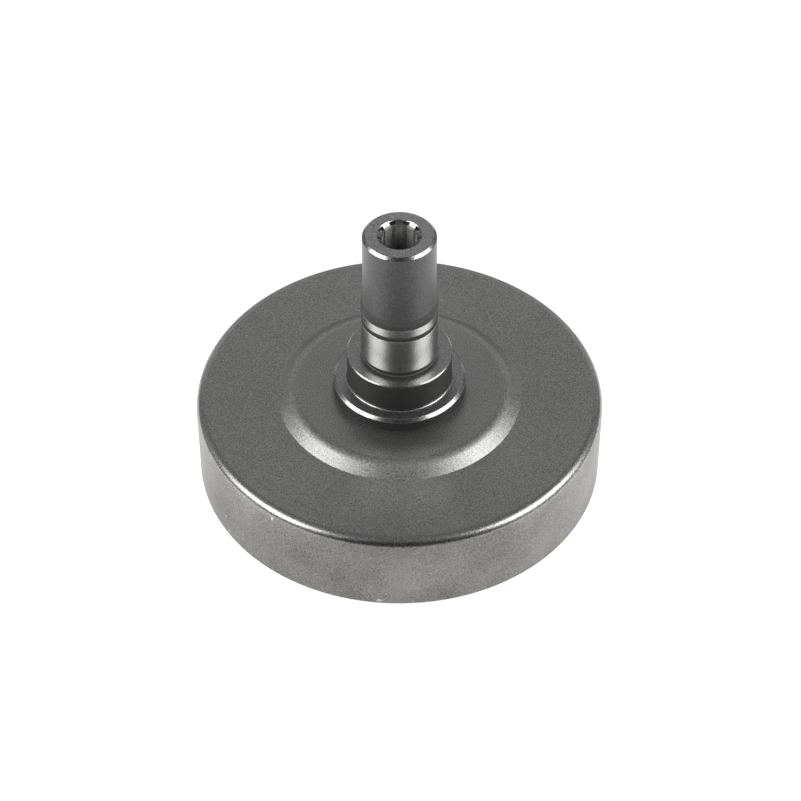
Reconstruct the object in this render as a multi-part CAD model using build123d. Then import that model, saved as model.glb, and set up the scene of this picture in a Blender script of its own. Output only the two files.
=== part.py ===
"""Clutch drum of a garden machine: a deep-drawn steel cup with a turned, splined spindle staked into it.

Millimetres. The cup stands open side down on its rim, the axis of rotation is Z,
and the origin is the centre of the rim plane.
"""
from build123d import *
import math
import os

os.makedirs("parts", exist_ok=True)

# Drum cup: one sheet-steel pressing
drum_outside_d = 80.0
drum_height = 17.3
sheet_thickness = 2.0
drum_corner_round = 1.8
drum_inner_corner_bevel = 1.0

# Raised seat pressed into the web
dome_base_d = 48.0
dome_slope_run = 2.9
dome_rise = 2.2
dome_top_round = 3.0

# Spindle: turned steps, from the web to the nose
flange_d = 26.0
flange_thickness = 2.8
flange_chamfer = 0.6
shoulder_d = 20.5
shoulder_length = 6.4
shoulder_chamfer = 0.2
seat_d = 15.0
seat_length = 9.05
relief_width = 1.2
relief_depth = 0.3
clip_groove_width = 1.1
clip_groove_depth = 0.35
land_length = 2.9
lead_in_length = 0.85
nose_d = 14.0
nose_length = 15.8
nose_chamfer = 0.55

# Drive socket: internal spline broached from the nose end, with a run-out bore behind it
spline_teeth = 9
spline_major_d = 8.2
spline_minor_d = 6.6
spline_tooth_width = 1.45
spline_length = 30.0
spline_mouth_margin = 0.15
runout_clearance = 0.2

# Staked joint between the two pieces
spigot_d = 18.0
spigot_clearance = 0.02
lip_overhang = 1.25
lip_thickness = 1.2
lip_chamfer = 0.5

# Heights along the axis
web_z = drum_height
seat_face_z = web_z + dome_rise
seat_under_z = seat_face_z - sheet_thickness
tail_z = seat_under_z - lip_thickness
flange_z = seat_face_z + flange_thickness
shoulder_z = flange_z + shoulder_length
groove_low_z = shoulder_z + seat_length
groove_high_z = groove_low_z + clip_groove_width
land_z = groove_high_z + land_length
nose_low_z = land_z + lead_in_length
nose_z = nose_low_z + nose_length


def turned(section):
    """Revolve a closed section about Z. Each corner is (radius, height, corner round)."""
    corners = [(r, z) for r, z, _ in section]
    rounds = [corner for _, _, corner in section]
    with BuildPart() as body:
        with BuildSketch(Plane.XZ):
            with BuildLine():
                FilletPolyline(*corners, radius=rounds, close=True)
            make_face()
        revolve(axis=Axis.Z)
    return body.part


def drum_cup():
    """Pressed cup of even sheet: outer side first, then the inner side offset by the sheet."""
    outer_r = drum_outside_d / 2
    inner_r = outer_r - sheet_thickness
    web_under_z = web_z - sheet_thickness
    hole_r = spigot_d / 2 + spigot_clearance
    base_r = dome_base_d / 2
    top_r = base_r - dome_slope_run
    slope = math.atan2(dome_rise, dome_slope_run)
    slope_length = math.hypot(dome_rise, dome_slope_run)
    top_round = min(dome_top_round, 0.95 * slope_length / math.tan(slope / 2))
    offset = sheet_thickness * math.tan(slope / 2)
    return turned([
        (inner_r, 0, 0),
        (outer_r, 0, 0),
        (outer_r, web_z, drum_corner_round),
        (base_r, web_z, 0),
        (top_r, seat_face_z, top_round),
        (hole_r, seat_face_z, 0),
        (hole_r, seat_under_z, 0),
        (top_r - offset, seat_under_z, 0),
        (base_r - offset, web_under_z, 0),
        (inner_r - drum_inner_corner_bevel, web_under_z, 0),
        (inner_r, web_under_z - drum_inner_corner_bevel, 0),
    ])


def spindle():
    """Turned spindle with its bore, then the spline grooves cut between the teeth."""
    flange_r = flange_d / 2
    shoulder_r = shoulder_d / 2
    seat_r = seat_d / 2
    nose_r = nose_d / 2
    relief_r = seat_r - relief_depth
    groove_r = seat_r - clip_groove_depth
    spigot_r = spigot_d / 2
    lip_r = spigot_r + lip_overhang
    minor_r = spline_minor_d / 2
    major_r = spline_major_d / 2
    runout_r = major_r + runout_clearance
    mouth_r = major_r + spline_mouth_margin
    spline_low_z = nose_z - spline_length
    flange_edge = min(flange_chamfer, 0.4 * (flange_r - shoulder_r))
    body = turned([
        (runout_r, tail_z, 0),
        (lip_r - lip_chamfer, tail_z, 0),
        (lip_r, tail_z + lip_chamfer, 0),
        (lip_r, seat_under_z, 0),
        (spigot_r, seat_under_z, 0),
        (spigot_r, seat_face_z, 0),
        (flange_r, seat_face_z, 0),
        (flange_r, flange_z - flange_edge, 0),
        (flange_r - flange_edge, flange_z, 0),
        (shoulder_r, flange_z, 0),
        (shoulder_r, shoulder_z - shoulder_chamfer, 0),
        (shoulder_r - shoulder_chamfer, shoulder_z, 0),
        (relief_r, shoulder_z, 0),
        (relief_r, shoulder_z + relief_width - relief_depth, 0),
        (seat_r, shoulder_z + relief_width, 0),
        (seat_r, groove_low_z, 0),
        (groove_r, groove_low_z, 0),
        (groove_r, groove_high_z, 0),
        (seat_r, groove_high_z, 0),
        (seat_r, land_z, 0),
        (nose_r, nose_low_z, 0),
        (nose_r, nose_z - nose_chamfer, 0),
        (nose_r - nose_chamfer, nose_z, 0),
        (mouth_r, nose_z, 0),
        (minor_r, nose_z - (mouth_r - minor_r), 0),
        (minor_r, spline_low_z, 0),
        (runout_r, spline_low_z - (runout_r - minor_r), 0),
    ])
    with BuildPart() as turned_spindle:
        add(body)
        with BuildSketch(Plane.XY.offset(nose_z)):
            Circle(major_r)
            with PolarLocations(major_r, spline_teeth, start_angle=90):
                Rectangle(major_r, spline_tooth_width, mode=Mode.SUBTRACT)
        extrude(amount=-(spline_length + runout_r - minor_r), mode=Mode.SUBTRACT)
    return turned_spindle.part


export_step(drum_cup(), "parts/drum_cup.step")
export_step(spindle(), "parts/spindle.step")
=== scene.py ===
import bmesh
import bpy
import math
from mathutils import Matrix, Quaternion, Vector


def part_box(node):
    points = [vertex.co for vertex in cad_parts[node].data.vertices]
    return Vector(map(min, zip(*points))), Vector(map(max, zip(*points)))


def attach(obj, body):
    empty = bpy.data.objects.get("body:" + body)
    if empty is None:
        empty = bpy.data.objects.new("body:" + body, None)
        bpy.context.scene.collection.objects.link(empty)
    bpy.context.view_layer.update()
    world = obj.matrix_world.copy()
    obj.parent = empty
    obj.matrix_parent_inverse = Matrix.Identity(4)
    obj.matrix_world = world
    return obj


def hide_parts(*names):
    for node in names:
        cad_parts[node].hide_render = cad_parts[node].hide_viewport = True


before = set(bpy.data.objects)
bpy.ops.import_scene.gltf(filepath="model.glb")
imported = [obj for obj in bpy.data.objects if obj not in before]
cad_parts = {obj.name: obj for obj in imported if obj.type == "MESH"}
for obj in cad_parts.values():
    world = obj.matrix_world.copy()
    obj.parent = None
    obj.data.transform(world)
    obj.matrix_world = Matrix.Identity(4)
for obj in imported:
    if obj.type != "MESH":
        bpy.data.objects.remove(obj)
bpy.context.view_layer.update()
_, CUP_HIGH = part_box("drum_cup")
SPINDLE_LOW, SPINDLE_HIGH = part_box("spindle")
MM = 0.001
CUP_STEPS = 240
STEPS_PER_TOOTH = 20
ROOT_STEPS = 8
SMOOTH_ANGLE = math.radians(28)
MERGE_DISTANCE = 0.001 * MM
SEED_SIZE = 2.0 * MM

bl_info = {
    "name": "Clutch drum",
    "version": (1, 0, 0),
    "blender": (4, 5, 0),
    "location": "View3D > Sidebar > Clutch drum",
    "description": "Models the pressed cup and the splined spindle of a clutch drum, and its studio",
    "category": "Object",
}


def length(name, description, default):
    """A size in metres."""
    return bpy.props.FloatProperty(
        name=name, description=description, default=default, min=0.0, precision=5,
        subtype="DISTANCE", unit="LENGTH")


def colour(name, description, default):
    """A linear colour."""
    return bpy.props.FloatVectorProperty(
        name=name, description=description, default=default, size=3, min=0.0, max=1.0, subtype="COLOR")


def share(name, description, default):
    """A number from 0 to 1."""
    return bpy.props.FloatProperty(
        name=name, description=description, default=default, min=0.0, max=1.0, subtype="FACTOR")


def amount(name, description, default):
    """A plain number from 0 up."""
    return bpy.props.FloatProperty(name=name, description=description, default=default, min=0.0)


def angle(name, description, degrees):
    """An angle, given in degrees."""
    return bpy.props.FloatProperty(
        name=name, description=description, default=math.radians(degrees), subtype="ANGLE")


def power(name, description, default):
    """The power of a light in watts."""
    return bpy.props.FloatProperty(
        name=name, description=description, default=default, min=0.0, unit="POWER")


class CupSizes(bpy.types.PropertyGroup):
    """Sizes of the pressed cup."""
    outside_radius: length("Outside radius", "Radius of the cup's wall", round(CUP_HIGH.x, 5))
    seat_height: length("Seat height", "Height of the raised seat over the rim", round(CUP_HIGH.z, 5))
    sheet: length("Sheet", "Thickness of the sheet steel", 2.0 * MM)
    corner_round: length("Corner round", "Outer round between the web and the wall", 1.8 * MM)
    inner_corner_round: length("Inner corner round", "Inner round between the web and the wall", 1.0 * MM)
    rim_break: length("Rim break", "Small chamfer on both edges of the rim", 0.25 * MM)
    seat_rise: length("Seat rise", "How far the raised seat stands over the web", 2.2 * MM)
    seat_base_radius: length("Seat base radius", "Radius where the raised seat leaves the web", 24.0 * MM)
    seat_top_radius: length("Seat top radius", "Radius where the slope meets the top", 21.1 * MM)
    seat_base_fillet: length("Seat base fillet", "Round at the foot of the raised seat", 0.3 * MM)
    seat_top_round: length("Seat top round", "Round at the edge of the raised seat's top", 3.5 * MM)
    hole_radius: length("Hole radius", "Radius of the hole for the spigot", 9.02 * MM)


class SpindleSizes(bpy.types.PropertyGroup):
    """Sizes of the turned spindle, from the web to the nose."""
    nose_height: length("Nose height", "Height of the end face over the rim", round(SPINDLE_HIGH.z, 5))
    tail_height: length("Tail height", "Height of the staked lip's end over the rim", round(SPINDLE_LOW.z, 5))
    flange_radius: length("Flange radius", "Radius of the flange", round(SPINDLE_HIGH.x, 5))
    flange_thickness: length("Flange thickness", "Thickness of the flange", 2.8 * MM)
    flange_chamfer: length("Flange chamfer", "Chamfer on the flange's upper edge", 0.6 * MM)
    flange_edge_round: length("Flange edge round", "Round at both edges of the flange's chamfer", 0.12 * MM)
    shoulder_radius: length("Shoulder radius", "Radius of the shoulder", 10.25 * MM)
    shoulder_length: length("Shoulder length", "Length of the shoulder", 6.4 * MM)
    shoulder_fillet: length("Shoulder fillet", "Round at the shoulder's foot", 0.4 * MM)
    shoulder_chamfer: length("Shoulder chamfer", "Chamfer on the shoulder's edge", 0.2 * MM)
    seat_radius: length("Bearing seat radius", "Radius of the ground bearing seat", 7.5 * MM)
    seat_length: length("Bearing seat length", "From the shoulder's face to the circlip groove", 9.05 * MM)
    relief_width: length("Relief width", "Width of the undercut at the bearing seat's foot", 1.2 * MM)
    relief_depth: length("Relief depth", "Depth of the undercut at the bearing seat's foot", 0.3 * MM)
    relief_round: length("Relief round", "Round at the inner corner of the undercut", 0.2 * MM)
    groove_width: length("Groove width", "Width of the circlip groove", 1.1 * MM)
    groove_depth: length("Groove depth", "Depth of the circlip groove", 0.35 * MM)
    groove_edge_round: length("Groove edge round", "Round at both edges of the circlip groove", 0.05 * MM)
    land_length: length("Land length", "Length of the narrow land over the groove", 2.9 * MM)
    land_ground: length("Ground land", "How much of the land is ground bright", 1.85 * MM)
    lead_in_length: length("Lead-in length", "Length of the lead-in cone", 0.85 * MM)
    lead_in_round: length("Lead-in round", "Round at both ends of the lead-in cone", 0.3 * MM)
    nose_radius: length("Nose radius", "Radius of the nose", 7.0 * MM)
    nose_chamfer: length("Nose chamfer", "Chamfer on the nose's end", 0.55 * MM)
    nose_edge_round: length("Nose edge round", "Round under the nose's chamfer", 0.15 * MM)
    nose_face_round: length("Nose face round", "Round between the nose's chamfer and its face", 0.1 * MM)
    spigot_radius: length("Spigot radius", "Radius of the spigot in the web's hole", 9.0 * MM)
    lip_radius: length("Lip radius", "Radius of the staked lip", 10.25 * MM)
    lip_round: length("Lip round", "Round on the staked lip", 0.5 * MM)
    teeth: bpy.props.IntProperty(name="Teeth", description="Teeth of the internal spline", default=9, min=3)
    spline_major_radius: length("Spline major radius", "Radius at the spline's roots", 4.1 * MM)
    spline_minor_radius: length("Spline minor radius", "Radius at the tips of the spline's teeth", 3.3 * MM)
    tooth_width: length("Tooth width", "Width of one tooth", 1.45 * MM)
    spline_length: length("Spline length", "Length of the teeth", 30.0 * MM)
    mouth_radius: length("Mouth radius", "Outer radius of the countersunk mouth", 4.25 * MM)
    runout_radius: length("Run-out radius", "Radius of the plain bore under the teeth", 4.3 * MM)
    tail_chamfer: length("Tail chamfer", "Chamfer of the bore at the tail", 0.4 * MM)
    broach_inset: length("Broach inset", "How far the broach reaches inside the teeth", 0.7 * MM)
    broach_overrun: length("Broach overrun", "How far the broach stands over the end face", 1.0 * MM)


class SteelFinish(bpy.types.PropertyGroup):
    """Colours, gloss and grain of the two steels."""
    web_colour: colour("Web", "Satin steel of the web", (0.226, 0.227, 0.223))
    wall_colour: colour("Wall", "Steel of the cup's wall, slightly warm", (0.228, 0.222, 0.213))
    track_colour: colour("Track", "Worn friction track inside the cup", (0.330, 0.326, 0.318))
    turned_colour: colour("Turned steel", "Turned faces of the spindle", (0.225, 0.227, 0.224))
    # Painted shade: the nose's wall is coloured far darker than the other turned faces; its skin is also
    # rougher and less metallic.
    nose_shade_colour: colour("Nose", "Dull, darker skin of the nose", (0.078, 0.079, 0.078))
    # Painted shade in the circlip groove, the relief under the bearing seat, the unground part of the land
    # and the lead-in cone.
    recess_shade_colour: colour("Recess", "Unground, shade-darkened steel in grooves and the lead-in", (0.037, 0.037, 0.036))
    # Painted shade on the vertical walls of the flange and the shoulder, which are also rougher.
    collar_shade_colour: colour("Collar", "Dull walls of the flange and the shoulder", (0.023, 0.023, 0.022))
    # Painted fill light in the bore: the roots between the teeth and the plain bore are coloured far lighter
    # than the tooth tips, both without metal.
    tooth_colour: colour("Teeth", "Dull tips of the spline's teeth", (0.170, 0.170, 0.168))
    bore_fill_light_colour: colour("Bore", "Shade-lifted steel between the teeth and in the bore", (0.620, 0.620, 0.612))
    ground_colour: colour("Ground steel", "Ground bearing seat and land", (0.650, 0.650, 0.642))
    worn_colour: colour("Worn edge", "Bare metal on edges and nicks", (0.620, 0.615, 0.600))
    web_roughness: share("Web roughness", "Roughness of the pressed sheet", 0.40)
    turned_roughness: share("Turned roughness", "Roughness of the turned faces", 0.25)
    ground_roughness: share("Ground roughness", "Roughness of the ground faces", 0.17)
    track_gloss: share("Track gloss", "How much smoother the friction track is", 0.12)
    corner_gloss: share("Corner gloss", "How much smoother the drawn corner is", 0.09)
    slope_dullness: share("Slope dullness", "How much rougher the raised seat's slope is", 0.05)
    skin_dullness: share("Skin dullness", "How much rougher bore, recesses and collar are", 0.30)
    nose_dullness: share("Nose dullness", "How much rougher the nose is", 0.12)
    step_dullness: share("Step dullness", "How much rougher the flange's and the shoulder's faces are", 0.14)
    # Less metal where the painted shade of recesses and collar lies.
    dull_skin: share("Dull skin", "How much of recesses and collar lies under a dull skin", 0.8)
    nose_skin: share("Nose skin", "How much of the nose lies under a dull skin", 0.5)
    sheet_unevenness: share("Sheet unevenness", "How far the sheet's roughness follows its grain", 0.16)
    cloud_unevenness: share("Cloud unevenness", "How far the sheet's roughness follows its patches", 0.10)
    spindle_unevenness: share("Spindle unevenness", "How far the spindle's roughness follows its grain", 0.12)
    tool_unevenness: share("Tool unevenness", "How far the spindle's roughness follows its tool lines", 0.08)
    grain_scale: amount("Grain scale", "Fineness of the grain", 4000.0)
    sheet_cloud_scale: amount("Sheet cloud scale", "Fineness of the sheet's patches", 80.0)
    spindle_cloud_scale: amount("Spindle cloud scale", "Fineness of the spindle's patches", 160.0)
    nick_scale: amount("Nick scale", "Fineness of the nicks", 520.0)
    tool_scale: amount("Tool scale", "Fineness of the tool lines", 5200.0)
    sheet_grain: amount("Sheet grain", "Contrast of the sheet's grain", 2.0)
    spindle_grain: amount("Spindle grain", "Contrast of the spindle's grain", 1.8)
    ground_grain: amount("Ground grain", "Contrast of the grain on ground faces", 0.6)
    web_cloud: amount("Web patches", "Contrast of the web's patches", 0.22)
    wall_cloud: amount("Wall patches", "More contrast of the patches on the wall", 0.95)
    spindle_cloud: amount("Spindle patches", "Contrast of the spindle's patches", 0.16)
    draw_shade: amount("Draw marks", "Contrast of the draw marks on the wall", 0.14)
    tool_shade: amount("Tool lines", "Contrast of the tool lines", 0.14)
    nick_share: share("Nick share", "How bare the metal is in a nick", 0.8)
    bump_depth: length("Bump depth", "Depth of the grain and the lines", 0.005 * MM)


class StudioLook(bpy.types.PropertyGroup):
    """Floor, light and camera."""
    floor_colour: colour("Floor", "Pale floor", (0.10, 0.10, 0.10))
    floor_size: length("Floor size", "Side of the floor", 6.0)
    floor_glow: amount("Floor glow", "Light that the floor gives in front of the drum", 0.92)
    side_glow: amount("Side glow", "More light that the floor gives beside the drum", 1.2)
    side_start: length("Side start", "Where half of the side glow is reached", 50.0 * MM)
    side_soft: length("Side softness", "Half the width of the step to the side glow", 40.0 * MM)
    glow_middle: length("Glow middle", "How far behind the axis the glowing disc is centred", 38.0 * MM)
    glow_reach: length("Glow reach", "Radius of the glowing disc", 185.0 * MM)
    glow_soft: length("Glow softness", "Half the width of the disc's soft edge", 18.0 * MM)
    backdrop: amount("Backdrop", "Brightness behind the drum", 1.15)
    overhead: amount("Overhead", "Brightness over the drum", 0.24)
    front: amount("Front", "Brightness behind the camera", 0.035)
    left_power: power("Left power", "Power of the left softbox", 3.6)
    right_power: power("Right power", "Power of the right softbox", 3.7)
    box_width: length("Softbox width", "Width of each softbox", 0.44)
    box_height: length("Softbox height", "Height of each softbox", 0.36)
    box_distance: length("Softbox distance", "Distance of each softbox from the drum", 0.60)
    left_turn: angle("Left turn", "Angle of the left softbox from the camera's side", -71)
    right_turn: angle("Right turn", "Angle of the right softbox from the camera's side", 76)
    box_rise: angle("Softbox rise", "Height angle of each softbox", 36)
    camera_distance: length("Camera distance", "From the camera to the rim's centre", 0.5128)
    camera_rise: angle("Camera rise", "Height angle of the camera", 46)
    camera_aim: length("Camera aim", "Height on the axis that the camera looks at", 15.0 * MM)
    camera_side: length("Camera side", "How far beside the axis the camera looks", 0.2 * MM)
    camera_lens: bpy.props.FloatProperty(
        name="Lens", description="Focal length", default=114.2, min=1, unit="CAMERA")


# Modelling helpers

def rounded(corners, segments=6, hold=0.05 * MM):
    """Points of a closed section in the XZ plane. Each corner is (radius, height, round)."""
    places = [Vector((radius, 0.0, height)) for radius, height, _ in corners]
    points = []
    for index, (_, _, bend) in enumerate(corners):
        here = places[index]
        if bend <= 0.0:
            points.append(here)
            continue
        back = (places[index - 1] - here).normalized()
        ahead = (places[(index + 1) % len(places)] - here).normalized()
        half = back.angle(ahead) / 2
        reach = bend / math.tan(half)
        centre = here + (back + ahead).normalized() * (bend / math.sin(half))
        first = here + back * reach - centre
        last = here + ahead * reach - centre
        turn = first.cross(last).normalized()
        sweep = first.angle(last)
        points.append(here + back * (reach + hold))
        for step in range(segments + 1):
            points.append(centre + Quaternion(turn, sweep * step / segments) @ first)
        points.append(here + ahead * (reach + hold))
    return points


def draw_line(name, points):
    """New piece in edit mode: one vertex, extruded from point to point."""
    bpy.ops.object.select_all(action="DESELECT")
    bpy.ops.mesh.primitive_plane_add(size=SEED_SIZE, enter_editmode=True)
    piece = bpy.context.object
    piece.name = name
    piece.data.name = name
    bpy.ops.mesh.merge(type="CENTER")
    bpy.ops.transform.translate(value=points[0])
    for here, there in zip(points, points[1:]):
        bpy.ops.mesh.extrude_vertices_move(TRANSFORM_OT_translate={"value": there - here})
    return piece


def pick(piece, test):
    """Selects only the vertices that pass the test."""
    mesh = bmesh.from_edit_mesh(piece.data)
    bpy.ops.mesh.select_mode(type="VERT")
    for vertex in mesh.verts:
        vertex.select = test(vertex)
    mesh.select_flush_mode()
    bmesh.update_edit_mesh(piece.data)


def close_line(piece):
    """Joins the two free ends of a drawn line."""
    pick(piece, lambda vertex: len(vertex.link_edges) == 1)
    bpy.ops.mesh.edge_face_add()


def tidy_shell(piece):
    """Merges the seam, points the faces outwards and leaves edit mode."""
    bpy.ops.mesh.select_all(action="SELECT")
    bpy.ops.mesh.remove_doubles(threshold=MERGE_DISTANCE)
    bpy.ops.mesh.normals_make_consistent(inside=False)
    bpy.ops.object.mode_set(mode="OBJECT")


def turn_section(name, corners, steps):
    """A turned or pressed piece: its section drawn, closed and spun once round the axis."""
    piece = draw_line(name, rounded(corners))
    close_line(piece)
    bpy.ops.mesh.select_all(action="SELECT")
    bpy.ops.mesh.spin(
        steps=steps, dupli=False, angle=2 * math.pi, use_auto_merge=True, center=(0, 0, 0), axis=(0, 0, 1))
    tidy_shell(piece)
    return piece


def dress(piece, node, material):
    """Puts a finished piece in the place of its node, with its finish."""
    bpy.ops.object.select_all(action="DESELECT")
    piece.select_set(True)
    bpy.context.view_layer.objects.active = piece
    bpy.ops.object.shade_smooth_by_angle(angle=SMOOTH_ANGLE)
    piece.data.materials.clear()
    piece.data.materials.append(material)
    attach(piece, "root")
    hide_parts(node)


# Materials

class Wire:
    """A shader socket that can stand in a Python expression."""

    def __init__(self, tree, socket=None):
        self.tree = tree
        self.socket = socket

    def node(self, kind, settings, sockets, out=0):
        """Adds a node, sets it up, and fills its sockets with values or links."""
        made = self.tree.nodes.new(kind)
        for key, value in settings.items():
            if key == "stops":
                ramp = made.color_ramp.elements
                while len(ramp) < len(value):
                    ramp.new(0.5)
                for element, (place, shade) in zip(ramp, value):
                    element.position = place
                    element.color = (shade, shade, shade, 1.0)
            else:
                setattr(made, key, value)
        for key, value in sockets.items():
            if isinstance(value, Wire):
                self.tree.links.new(value.socket, made.inputs[key])
            else:
                made.inputs[key].default_value = value
        return Wire(self.tree, made.outputs[out])

    def math(self, operation, first, second=0.0):
        """One step of arithmetic."""
        return self.node("ShaderNodeMath", {"operation": operation}, {0: first, 1: second})

    def __add__(self, other):
        return self.math("ADD", self, other)

    def __sub__(self, other):
        return self.math("SUBTRACT", self, other)

    def __rsub__(self, other):
        return self.math("SUBTRACT", other, self)

    def __mul__(self, other):
        return self.math("MULTIPLY", self, other)

    def between(self, low, high, soft=0.08 * MM):
        """1 where the value lies between low and high, with soft ends."""
        return self.rise(low, soft) * (1.0 - self.rise(high, soft))

    def rise(self, place, soft):
        """0 below the place and 1 above it, over a soft step."""
        return self.node(
            "ShaderNodeMapRange", {"interpolation_type": "SMOOTHSTEP"},
            {"Value": self, "From Min": place - soft, "From Max": place + soft, "To Min": 0.0, "To Max": 1.0})

    def mix(self, first, second):
        """A colour from first to second as this value goes from 0 to 1."""
        def filled(value):
            return value if isinstance(value, Wire) else (*value, 1.0)
        return self.node(
            "ShaderNodeMix", {"data_type": "RGBA"}, {0: self, 6: filled(first), 7: filled(second)}, out=2)

    def shaded(self, change):
        """This colour made lighter or darker by a change around 0."""
        factor = change + 1.0
        modes = {"data_type": "RGBA", "blend_type": "MULTIPLY"}
        return self.node("ShaderNodeMix", modes, {0: 1.0, 6: self, 7: factor.grey()}, out=2)

    def grey(self):
        """This value as a colour."""
        return self.node("ShaderNodeCombineColor", {}, {0: self, 1: self, 2: self})


class SteelSheet:
    """Starts a metal material and gives its place on the piece."""

    def __init__(self, name):
        self.material = bpy.data.materials.new(name)
        self.material.use_nodes = True
        self.tree = self.material.node_tree
        self.shader = self.tree.nodes["Principled BSDF"]
        self.shader.inputs["Metallic"].default_value = 1.0
        self.shader.inputs["Specular Tint"].default_value = (0.85, 0.85, 0.85, 1.0)
        start = Wire(self.tree)
        self.place = start.node("ShaderNodeTexCoord", {}, {}, out=3)
        split = self.place.node("ShaderNodeSeparateXYZ", {}, {"Vector": self.place})
        self.x = split
        self.y = Wire(self.tree, split.socket.node.outputs[1])
        self.z = Wire(self.tree, split.socket.node.outputs[2])
        self.radius = start.math("SQRT", self.x * self.x + self.y * self.y)
        self.turn = start.math("ARCTAN2", self.y, self.x)

    def noise(self, scale, detail, vector=None):
        """Even noise around 0, from -0.5 to 0.5."""
        return self.place.node(
            "ShaderNodeTexNoise", {},
            {"Vector": vector or self.place, "Scale": scale, "Detail": detail, "Roughness": 0.55}) - 0.5

    def vector(self, x, y, z):
        """A place for a texture from three values."""
        return self.place.node("ShaderNodeCombineXYZ", {}, {0: x, 1: y, 2: z})

    def finish(self, base, roughness, height, depth):
        """Links what varies to the shader."""
        bump = self.place.node(
            "ShaderNodeBump", {}, {"Strength": 1.0, "Distance": depth, "Height": height})
        self.tree.links.new(base.socket, self.shader.inputs["Base Color"])
        self.tree.links.new(roughness.socket, self.shader.inputs["Roughness"])
        self.tree.links.new(bump.socket, self.shader.inputs["Normal"])
        return self.material


def pressed_steel(sizes, finish):
    """Satin sheet steel: fine grain, cloudy patches, faint draw marks on the wall and a worn track inside."""
    steel = SteelSheet("pressed_steel")
    wall_r = sizes.outside_radius
    inner_r = wall_r - sizes.sheet
    web_z = sizes.seat_height - sizes.seat_rise
    wall_top = web_z - 1.2 * MM
    wall_skin = wall_r - 0.6 * MM
    track_top = web_z - sizes.sheet - 0.8 * MM
    slope_r = sizes.seat_top_radius - 0.3 * MM
    corner_z = web_z - sizes.corner_round
    corner_r = wall_r - sizes.corner_round
    draw_across = 150.0
    draw_deep = 60.0
    draw_along = 90.0
    nick_level = 0.37
    grain_height = 0.7
    draw_height = 0.3

    wall = (1.0 - steel.z.rise(wall_top, soft=0.5 * MM)) * steel.radius.rise(wall_skin, soft=0.3 * MM)
    track = steel.radius.between(inner_r - 0.6 * MM, inner_r + 0.4 * MM, soft=0.2 * MM)
    track = track * (1.0 - steel.z.rise(track_top, soft=0.3 * MM))
    slope = steel.radius.between(slope_r, sizes.seat_base_radius, soft=0.3 * MM)
    corner = steel.z.rise(corner_z, soft=0.3 * MM) * steel.radius.rise(corner_r, soft=0.3 * MM)

    grain = steel.noise(finish.grain_scale, detail=1.0)
    cloud = steel.noise(finish.sheet_cloud_scale, detail=3.0)
    marks = steel.vector(steel.turn * draw_across, steel.radius * draw_deep, steel.z * draw_along)
    draw = steel.noise(1.0, detail=2.0, vector=marks) * wall
    nicks = steel.noise(finish.nick_scale, detail=0.0).rise(nick_level, soft=0.015)
    nicks = nicks * steel.radius.between(wall_r - 1.6 * MM, wall_r + 1.0 * MM)

    base = wall.mix(tuple(finish.web_colour), tuple(finish.wall_colour))
    base = track.mix(base, tuple(finish.track_colour))
    patches = cloud * (wall * finish.wall_cloud + finish.web_cloud)
    base = base.shaded(grain * finish.sheet_grain + patches + draw * finish.draw_shade)
    base = (nicks * finish.nick_share).mix(base, tuple(finish.worn_colour))

    uneven = grain * finish.sheet_unevenness + cloud * finish.cloud_unevenness
    smoother = track * finish.track_gloss + corner * finish.corner_gloss
    rough = uneven + finish.web_roughness - smoother + slope * finish.slope_dullness
    height = grain * grain_height + draw * draw_height
    return steel.finish(base, rough, height, finish.bump_depth)


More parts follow.
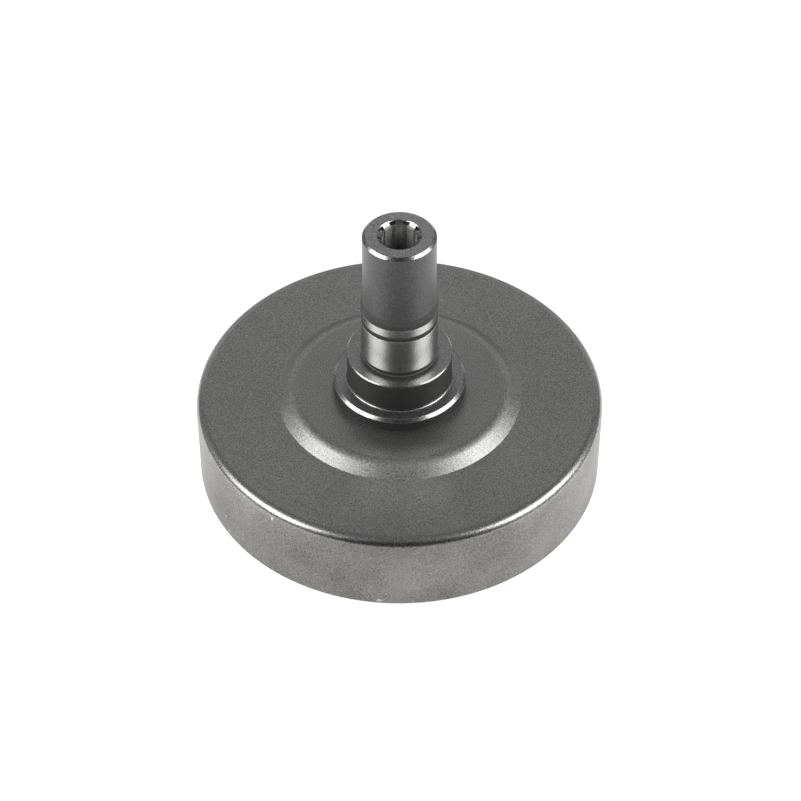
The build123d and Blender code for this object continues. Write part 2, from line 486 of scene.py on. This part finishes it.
def spindle_steel(sizes, cup, finish):
    """Turned steel with tool lines, ground bright on the bearing seat and the land, dull elsewhere, with
    painted shade on the nose, in the recesses and on the collar, and painted fill light in the bore.
    """
    steel = SteelSheet("spindle_steel")
    flange_z = cup.seat_height + sizes.flange_thickness
    shoulder_z = flange_z + sizes.shoulder_length
    seat_z = shoulder_z + sizes.relief_width
    groove_z = shoulder_z + sizes.seat_length
    land_z = groove_z + sizes.groove_width
    dull_z = land_z + sizes.land_ground
    nose_z = land_z + sizes.land_length + sizes.lead_in_length
    mouth_z = sizes.nose_height - (sizes.mouth_radius - sizes.spline_minor_radius)
    seat_r = sizes.seat_radius
    fine = 0.04 * MM
    face = 0.05 * MM
    line_turns = 1.5
    tool_height = 0.6
    grain_height = 0.4

    ground = steel.z.between(seat_z, groove_z) + steel.z.between(land_z, dull_z)
    ground = ground * steel.radius.rise(seat_r - 0.1 * MM, soft=0.05 * MM)
    # The bore and the roots between its teeth get painted fill light.
    bore = 1.0 - steel.radius.rise(sizes.mouth_radius + 0.1 * MM, soft=0.05 * MM)
    bore = bore * (1.0 - steel.z.rise(mouth_z - 0.1 * MM, soft=0.05 * MM))
    root = steel.radius.rise(sizes.spline_minor_radius + 0.4 * MM, soft=0.2 * MM)
    # Recesses with painted shade: the circlip groove, the relief under the seat, the unground land and the
    # lead-in cone.
    recess = steel.z.between(groove_z, land_z, fine) + steel.z.between(shoulder_z + 0.03 * MM, seat_z, fine)
    recess = recess + steel.z.between(dull_z + 0.1 * MM, nose_z, soft=0.1 * MM)
    recess = recess * (1.0 - steel.radius.rise(seat_r + 0.2 * MM, soft=0.1 * MM))
    # The nose's wall gets painted shade.
    nose = steel.z.between(dull_z, sizes.nose_height - sizes.nose_chamfer)
    # The collar, the flange's and the shoulder's vertical walls, gets painted shade.
    collar = steel.z.between(cup.seat_height, flange_z - sizes.flange_chamfer)
    collar = collar + steel.z.between(
        flange_z + sizes.shoulder_fillet, shoulder_z - sizes.shoulder_chamfer, fine)
    collar = collar * steel.radius.rise(seat_r + 1.0 * MM, soft=0.1 * MM)
    step = steel.z.between(flange_z - face, flange_z + face, fine)
    step = step + steel.z.between(shoulder_z - face, shoulder_z + face, fine)

    grain = steel.noise(finish.grain_scale, detail=1.0)
    cloud = steel.noise(finish.spindle_cloud_scale, detail=3.0)
    lines = steel.vector(
        steel.z * finish.tool_scale, steel.radius * finish.tool_scale, steel.turn * line_turns)
    tool = steel.noise(1.0, detail=2.0, vector=lines)

    # Colours with painted shade on the nose, in the recesses and on the collar, and painted fill light in the
    # bore.
    base = nose.mix(tuple(finish.turned_colour), tuple(finish.nose_shade_colour))
    base = ground.mix(base, tuple(finish.ground_colour))
    base = recess.mix(base, tuple(finish.recess_shade_colour))
    base = collar.mix(base, tuple(finish.collar_shade_colour))
    base = bore.mix(base, root.mix(tuple(finish.tooth_colour), tuple(finish.bore_fill_light_colour)))
    contrast = finish.spindle_grain - ground * (finish.spindle_grain - finish.ground_grain)
    base = base.shaded(grain * contrast + cloud * finish.spindle_cloud + tool * finish.tool_shade)

    uneven = grain * finish.spindle_unevenness + tool * finish.tool_unevenness
    gloss = ground * (finish.turned_roughness - finish.ground_roughness)
    duller = (bore + recess + collar) * finish.skin_dullness + nose * finish.nose_dullness
    rough = uneven + finish.turned_roughness - gloss + duller + step * finish.step_dullness
    height = tool * tool_height + grain * grain_height
    # Bore, nose, recesses and collar lose metal, so their painted colours show more plainly.
    bare = (1.0 - bore) * (1.0 - nose * finish.nose_skin)
    bare = bare * (1.0 - recess * finish.dull_skin) * (1.0 - collar * finish.dull_skin)
    steel.tree.links.new(bare.socket, steel.shader.inputs["Metallic"])
    return steel.finish(base, rough, height, finish.bump_depth)


# Pieces

class DRUM_OT_cup(bpy.types.Operator):
    """Press the cup: wall, web and raised seat from one sheet"""
    bl_idname = "clutch_drum.cup"
    bl_label = "Pressed cup"

    def execute(self, context):
        cup = context.scene.clutch_cup
        finish = context.scene.clutch_finish
        wall_r = cup.outside_radius
        inner_r = wall_r - cup.sheet
        top_z = cup.seat_height
        web_z = top_z - cup.seat_rise
        slope = math.atan2(cup.seat_rise, cup.seat_base_radius - cup.seat_top_radius)
        offset = cup.sheet * math.tan(slope / 2)
        piece = turn_section("pressed_cup", [
            (inner_r + cup.rim_break, 0.0, 0.0),
            (wall_r - cup.rim_break, 0.0, 0.0),
            (wall_r, cup.rim_break, 0.0),
            (wall_r, web_z, cup.corner_round),
            (cup.seat_base_radius, web_z, cup.seat_base_fillet),
            (cup.seat_top_radius, top_z, cup.seat_top_round),
            (cup.hole_radius, top_z, 0.0),
            (cup.hole_radius, top_z - cup.sheet, 0.0),
            (cup.seat_top_radius - offset, top_z - cup.sheet, cup.seat_top_round - cup.sheet),
            (cup.seat_base_radius - offset, web_z - cup.sheet, cup.seat_base_fillet + cup.sheet),
            (inner_r, web_z - cup.sheet, cup.inner_corner_round),
            (inner_r, cup.rim_break, 0.0),
        ], CUP_STEPS)
        dress(piece, "drum_cup", pressed_steel(cup, finish))
        return {"FINISHED"}


class DRUM_OT_spindle(bpy.types.Operator):
    """Turn the spindle and broach its internal spline"""
    bl_idname = "clutch_drum.spindle"
    bl_label = "Splined spindle"

    def execute(self, context):
        cup = context.scene.clutch_cup
        sizes = context.scene.clutch_spindle
        finish = context.scene.clutch_finish
        web_z = cup.seat_height
        under_z = web_z - cup.sheet
        flange_z = web_z + sizes.flange_thickness
        shoulder_z = flange_z + sizes.shoulder_length
        groove_z = shoulder_z + sizes.seat_length
        land_z = groove_z + sizes.groove_width
        cone_z = land_z + sizes.land_length
        relief_r = sizes.seat_radius - sizes.relief_depth
        groove_r = sizes.seat_radius - sizes.groove_depth
        spline_z = sizes.nose_height - sizes.spline_length
        minor_r = sizes.spline_minor_radius
        piece = turn_section("splined_spindle", [
            (sizes.runout_radius + sizes.tail_chamfer, sizes.tail_height, 0.0),
            (sizes.lip_radius, sizes.tail_height, sizes.lip_round),
            (sizes.lip_radius, under_z, 0.0),
            (sizes.spigot_radius, under_z, 0.0),
            (sizes.spigot_radius, web_z, 0.0),
            (sizes.flange_radius, web_z, 0.0),
            (sizes.flange_radius, flange_z - sizes.flange_chamfer, sizes.flange_edge_round),
            (sizes.flange_radius - sizes.flange_chamfer, flange_z, sizes.flange_edge_round),
            (sizes.shoulder_radius, flange_z, sizes.shoulder_fillet),
            (sizes.shoulder_radius, shoulder_z - sizes.shoulder_chamfer, 0.0),
            (sizes.shoulder_radius - sizes.shoulder_chamfer, shoulder_z, 0.0),
            (relief_r, shoulder_z, sizes.relief_round),
            (relief_r, shoulder_z + sizes.relief_width - sizes.relief_depth, 0.0),
            (sizes.seat_radius, shoulder_z + sizes.relief_width, 0.0),
            (sizes.seat_radius, groove_z, sizes.groove_edge_round),
            (groove_r, groove_z, 0.0),
            (groove_r, land_z, 0.0),
            (sizes.seat_radius, land_z, sizes.groove_edge_round),
            (sizes.seat_radius, cone_z, sizes.lead_in_round),
            (sizes.nose_radius, cone_z + sizes.lead_in_length, sizes.lead_in_round),
            (sizes.nose_radius, sizes.nose_height - sizes.nose_chamfer, sizes.nose_edge_round),
            (sizes.nose_radius - sizes.nose_chamfer, sizes.nose_height, sizes.nose_face_round),
            (sizes.mouth_radius, sizes.nose_height, 0.0),
            (minor_r, sizes.nose_height - (sizes.mouth_radius - minor_r), 0.0),
            (minor_r, spline_z, 0.0),
            (sizes.runout_radius, spline_z - (sizes.runout_radius - minor_r), 0.0),
            (sizes.runout_radius, sizes.tail_height + sizes.tail_chamfer, 0.0),
        ], STEPS_PER_TOOTH * sizes.teeth)
        broach = self.broach(sizes)
        bpy.ops.object.select_all(action="DESELECT")
        piece.select_set(True)
        context.view_layer.objects.active = piece
        bpy.ops.object.modifier_add(type="BOOLEAN")
        cut = piece.modifiers[-1]
        cut.operation = "DIFFERENCE"
        cut.solver = "EXACT"
        cut.object = broach
        bpy.ops.object.modifier_apply(modifier=cut.name)
        bpy.ops.object.select_all(action="DESELECT")
        broach.select_set(True)
        bpy.ops.object.delete()
        dress(piece, "spindle", spindle_steel(sizes, cup, finish))
        return {"FINISHED"}

    def broach(self, sizes):
        """One groove between two teeth as a prism, copied round the axis."""
        pitch = 2 * math.pi / sizes.teeth
        half = sizes.tooth_width / 2
        inner_r = sizes.spline_minor_radius - sizes.broach_inset
        middle = math.pi / 2 + pitch / 2
        top_z = sizes.nose_height + sizes.broach_overrun

        def at(radius, side):
            """A point of the groove's outline, with side from -1 at one flank to 1 at the other."""
            turn = middle + side * (pitch / 2 - math.asin(half / radius))
            return Vector((radius * math.cos(turn), radius * math.sin(turn), top_z))

        points = [at(inner_r, 1.0), at(inner_r, -1.0)]
        for step in range(ROOT_STEPS + 1):
            points.append(at(sizes.spline_major_radius, 2.0 * step / ROOT_STEPS - 1.0))
        cutter = draw_line("broach", points)
        bpy.ops.mesh.select_all(action="SELECT")
        bpy.ops.mesh.edge_face_add()
        drop = sizes.spline_length + sizes.runout_radius - sizes.spline_minor_radius + sizes.broach_overrun
        bpy.ops.mesh.extrude_region_move(TRANSFORM_OT_translate={"value": (0, 0, -drop)})
        bpy.ops.mesh.select_all(action="SELECT")
        bpy.ops.mesh.spin(
            steps=sizes.teeth - 1, dupli=True, angle=2 * math.pi * (sizes.teeth - 1) / sizes.teeth,
            center=(0, 0, 0), axis=(0, 0, 1))
        tidy_shell(cutter)
        return cutter


class DRUM_OT_studio(bpy.types.Operator):
    """Set up the pale floor, the soft light and the camera"""
    bl_idname = "clutch_drum.studio"
    bl_label = "Studio"

    def execute(self, context):
        look = context.scene.clutch_studio
        self.floor(look)
        self.sky(context.scene, look)
        self.softbox(context.scene, look, look.left_turn, look.left_power)
        self.softbox(context.scene, look, look.right_turn, look.right_power)
        self.camera(context.scene, look)
        return {"FINISHED"}

    def floor(self, look):
        """A pale floor that gives light in a disc round the drum, more of it at the sides."""
        bpy.ops.object.select_all(action="DESELECT")
        bpy.ops.mesh.primitive_plane_add(size=look.floor_size)
        floor = bpy.context.object
        floor.name = "floor"
        paper = bpy.data.materials.new("pale_floor")
        paper.use_nodes = True
        shader = paper.node_tree.nodes["Principled BSDF"]
        shader.inputs["Base Color"].default_value = (*look.floor_colour, 1.0)
        shader.inputs["Roughness"].default_value = 0.9
        shader.inputs["Specular IOR Level"].default_value = 0.0
        shader.inputs["Emission Strength"].default_value = 1.0
        start = Wire(paper.node_tree)
        place = start.node("ShaderNodeTexCoord", {}, {}, out=3)
        across = start.math("ABSOLUTE", place.node("ShaderNodeSeparateXYZ", {}, {"Vector": place}))
        middle = (0.0, look.glow_middle, 0.0)
        reach = start.node("ShaderNodeVectorMath", {"operation": "DISTANCE"}, {0: place, 1: middle}, out=1)
        glow = across.rise(look.side_start, look.side_soft) * look.side_glow + look.floor_glow
        glow = glow * (1.0 - reach.rise(look.glow_reach, look.glow_soft))
        paper.node_tree.links.new(glow.grey().socket, shader.inputs["Emission Color"])
        floor.data.materials.append(paper)

    def sky(self, scene, look):
        """Light from the room, in bands from the camera's side (0) to straight behind the drum (1)."""
        world = bpy.data.worlds.new("studio")
        scene.world = world
        world.use_nodes = True
        start = Wire(world.node_tree)
        way = start.node("ShaderNodeTexCoord", {}, {}, out=0)
        back = way.node("ShaderNodeSeparateXYZ", {}, {"Vector": way}, out=1)
        bands = [
            (0.15, look.front),
            (0.27, look.overhead * 1.3),
            (0.55, look.overhead * 1.2),
            (0.66, look.overhead * 1.8),
            (0.84, look.overhead * 1.2),
            (0.90, look.backdrop),
            (0.93, look.backdrop),
            (0.97, look.overhead * 2.0),
        ]
        shade = back.node("ShaderNodeValToRGB", {"stops": bands}, {"Fac": back * 0.5 + 0.5})
        world.node_tree.links.new(shade.socket, world.node_tree.nodes["Background"].inputs["Color"])

    def softbox(self, scene, look, turn, watts):
        """One large soft light, turned to the drum."""
        data = bpy.data.lights.new("softbox", "AREA")
        data.energy = watts
        data.shape = "RECTANGLE"
        data.size = look.box_width
        data.size_y = look.box_height
        box = bpy.data.objects.new("softbox", data)
        scene.collection.objects.link(box)
        flat = math.cos(look.box_rise)
        way = Vector((math.sin(turn) * flat, -math.cos(turn) * flat, math.sin(look.box_rise)))
        box.location = way * look.box_distance
        box.rotation_euler = way.to_track_quat("Z", "Y").to_euler()

    def camera(self, scene, look):
        """The camera of the photo."""
        data = bpy.data.cameras.new("camera")
        data.lens = look.camera_lens
        data.sensor_width = 36.0
        data.clip_start = 0.01
        eye = bpy.data.objects.new("camera", data)
        scene.collection.objects.link(eye)
        way = Vector((0.0, -math.cos(look.camera_rise), math.sin(look.camera_rise)))
        eye.location = way * look.camera_distance
        aim = Vector((look.camera_side, 0.0, look.camera_aim))
        eye.rotation_euler = (aim - eye.location).to_track_quat("-Z", "Y").to_euler()
        scene.camera = eye
        scene.view_settings.view_transform = "Standard"


class DRUM_PT_panel(bpy.types.Panel):
    """Buttons and sizes of the clutch drum"""
    bl_idname = "DRUM_PT_panel"
    bl_label = "Clutch drum"
    bl_space_type = "VIEW_3D"
    bl_region_type = "UI"
    bl_category = "Clutch drum"

    def draw(self, context):
        for operator in OPERATORS:
            self.layout.operator(operator.bl_idname)
        for name in GROUPS:
            group = getattr(context.scene, name)
            box = self.layout.box()
            for key in group.__annotations__:
                box.prop(group, key)


OPERATORS = (DRUM_OT_cup, DRUM_OT_spindle, DRUM_OT_studio)
GROUPS = {
    "clutch_cup": CupSizes,
    "clutch_spindle": SpindleSizes,
    "clutch_finish": SteelFinish,
    "clutch_studio": StudioLook,
}


def register():
    for name, group in GROUPS.items():
        bpy.utils.register_class(group)
        setattr(bpy.types.Scene, name, bpy.props.PointerProperty(type=group))
    for kind in (*OPERATORS, DRUM_PT_panel):
        bpy.utils.register_class(kind)


def unregister():
    for kind in (DRUM_PT_panel, *reversed(OPERATORS)):
        bpy.utils.unregister_class(kind)
    for name, group in reversed(GROUPS.items()):
        delattr(bpy.types.Scene, name)
        bpy.utils.unregister_class(group)


def main():
    register()
    bpy.ops.clutch_drum.cup()
    bpy.ops.clutch_drum.spindle()
    bpy.ops.clutch_drum.studio()


if __name__ == "__main__":
    main()
